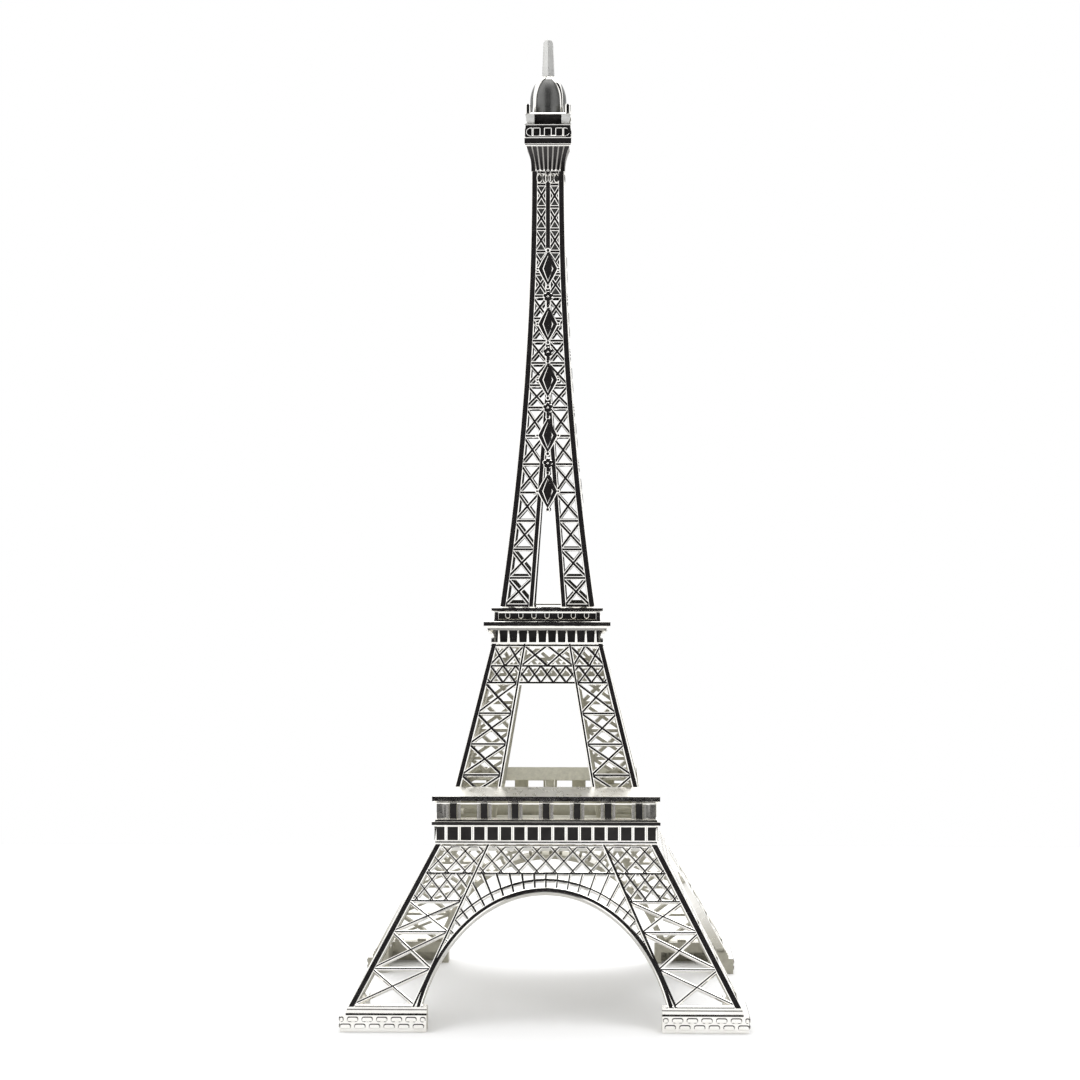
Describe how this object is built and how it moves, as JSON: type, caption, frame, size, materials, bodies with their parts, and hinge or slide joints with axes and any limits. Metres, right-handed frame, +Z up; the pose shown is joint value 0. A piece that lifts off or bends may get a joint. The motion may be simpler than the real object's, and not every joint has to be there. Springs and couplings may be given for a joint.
{
  "type": "miniature landmark tower",
  "caption": "Free-standing miniature lattice tower: four splayed legs with arches, two galleried decks and a tapering openwork spire with a domed top.",
  "frame": {"origin": "centre of the square footprint, on the table surface under the four feet", "axes": "+Z up along the tower's axis, -Y towards the front; the four sides are alike"},
  "size_m": [0.1288, 0.1288, 0.32],
  "materials": {
    "silver_plate": "bright silver plate over die-cast zinc",
    "satin_silver": "satin silver plate over die-cast zinc",
    "screw_steel": "zinc-plated steel"
  },
  "bodies": {
    "root": {"foot_front_left": "silver_plate", "foot_front_right": "silver_plate", "foot_rear_right": "silver_plate", "foot_rear_left": "silver_plate", "lower_face_front": "silver_plate", "lower_face_right": "silver_plate", "lower_face_rear": "silver_plate", "lower_face_left": "silver_plate", "first_floor_frieze": "silver_plate", "first_floor_gallery": "silver_plate", "first_floor_roof": "silver_plate", "first_floor_screws": "screw_steel", "middle_face_front": "silver_plate", "middle_face_right": "silver_plate", "middle_face_rear": "silver_plate", "middle_face_left": "silver_plate", "second_floor_corbels": "silver_plate", "second_floor_slab": "silver_plate", "second_floor_gallery": "silver_plate", "upper_deck": "silver_plate", "second_floor_screws": "screw_steel", "spire_face_front": "silver_plate", "spire_face_right": "silver_plate", "spire_face_rear": "silver_plate", "spire_face_left": "silver_plate", "spire_capital": "silver_plate", "top_cabin": "silver_plate", "upper_cabin": "silver_plate", "dome": "satin_silver", "mast": "satin_silver", "crown_screw": "screw_steel"}
  },
  "joints": []
}
